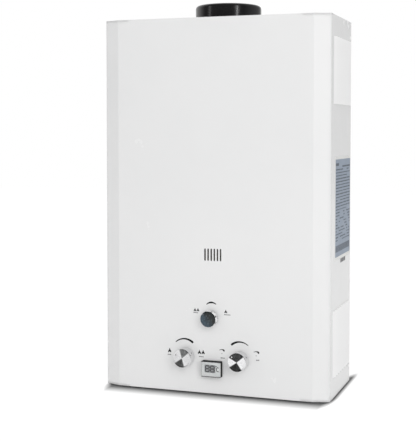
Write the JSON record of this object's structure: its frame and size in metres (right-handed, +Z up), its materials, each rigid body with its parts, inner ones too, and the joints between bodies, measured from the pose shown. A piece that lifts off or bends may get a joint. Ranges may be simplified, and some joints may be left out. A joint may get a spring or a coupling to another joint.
{
  "type": "portable gas water heater",
  "caption": "Portable tankless propane water heater: white folded-steel case, black flue collar, three front knobs, temperature display, finned copper exchanger and gas burner inside.",
  "frame": {"origin": "middle of the footprint, knobs included, at the height of the bottom rim", "axes": "+X to the right seen from the front, +Y towards the wall, +Z up"},
  "size_m": [0.448, 0.21, 0.729],
  "materials": {
    "black_enamel": "satin",
    "black_plastic": "matte",
    "brass_fitting": "satin",
    "cast_aluminium": "satin",
    "circuit_board": "satin",
    "clear_window": "clear",
    "copper": "satin",
    "dark_cap": "gloss",
    "galvanised": "satin",
    "grey_plastic": "matte",
    "lcd_glass": "satin",
    "mica": "clear",
    "rubber_seal": "matte",
    "silver_knob": "gloss",
    "spun_metal": "spun",
    "stainless": "satin",
    "white_ceramic": "satin",
    "white_enamel": "satin",
    "zinc_screw": "satin"
  },
  "bodies": {
    "case": {"back_plate": "galvanised", "battery_box": "black_plastic", "battery_contacts": "stainless", "bottom_pan": "galvanised", "burner_bars": "stainless", "burner_tray": "galvanised", "chamber_brackets": "galvanised", "coil_union": "brass_fitting", "cold_inlet": "brass_fitting", "cold_pipe": "copper", "collar_screws": "zinc_screw", "cover_screws": "white_enamel", "diaphragm": "rubber_seal", "diaphragm_cover": "brass_fitting", "diaphragm_screws": "zinc_screw", "display_board": "circuit_board", "display_housing": "black_plastic", "display_panel": "lcd_glass", "display_window": "clear_window", "drain_plug": "black_plastic", "electrode_bracket": "stainless", "electrode_ceramics": "white_ceramic", "electrode_rods": "stainless", "exchanger_fins": "copper", "exchanger_shell": "copper", "exchanger_tubes": "copper", "fitting_washers": "rubber_seal", "flue_collar": "black_enamel", "flue_hood": "galvanised", "front_cover": "white_enamel", "gas_injectors": "brass_fitting", "gas_inlet": "brass_fitting", "gas_manifold": "cast_aluminium", "gas_riser": "cast_aluminium", "gas_valve_body": "cast_aluminium", "hot_outlet": "brass_fitting", "hot_pipe": "copper", "ignition_controller": "grey_plastic", "inlet_filter": "stainless", "micro_switch": "black_plastic", "outlet_sensor": "stainless", "overheat_thermostat": "stainless", "sight_window": "mica", "top_plate": "galvanised", "water_coil": "copper", "water_valve_body": "brass_fitting"},
    "fire_control": {"fire_knob": "silver_knob", "fire_knob_cap": "spun_metal", "fire_spindle": "brass_fitting"},
    "water_control": {"water_knob": "silver_knob", "water_knob_cap": "spun_metal", "water_spindle": "brass_fitting"},
    "season_control": {"season_knob": "silver_knob", "season_knob_cap": "dark_cap", "season_spindle": "brass_fitting"},
    "push_rod": {"push_rod": "stainless"},
    "switch_lever": {"switch_lever": "stainless"},
    "battery_lid": {"battery_lid": "black_plastic"}
  },
  "joints": [
    {"name": "fire_turn", "type": "hinge", "parent": "case", "child": "fire_control", "pos_m": [-0.0535, -0.083, 0.0665], "axis": [0, -1, 0], "range_deg": [-65, 65]},
    {"name": "water_turn", "type": "hinge", "parent": "case", "child": "water_control", "pos_m": [0.0535, -0.083, 0.0665], "axis": [0, -1, 0], "range_deg": [-65, 65]},
    {"name": "season_turn", "type": "hinge", "parent": "case", "child": "season_control", "pos_m": [-0.0038, -0.083, 0.142], "axis": [0, -1, 0], "range_deg": [-60, 60]},
    {"name": "rod_push", "type": "slide", "parent": "case", "child": "push_rod", "axis": [-1, 0, 0], "range_m": [0, 0.005], "stiffness_N_per_m": 300},
    {"name": "lever_swing", "type": "hinge", "parent": "case", "child": "switch_lever", "pos_m": [-0.0048, -0.03, 0.092], "axis": [0, 1, 0], "range_deg": [0, 29]},
    {"name": "lid_slide", "type": "slide", "parent": "case", "child": "battery_lid", "axis": [0, 1, 0], "range_m": [0, 0.044]}
  ],
  "couplings": [
    {"joint": "lever_swing", "follows": "rod_push", "rad_per_m": 100}
  ]
}
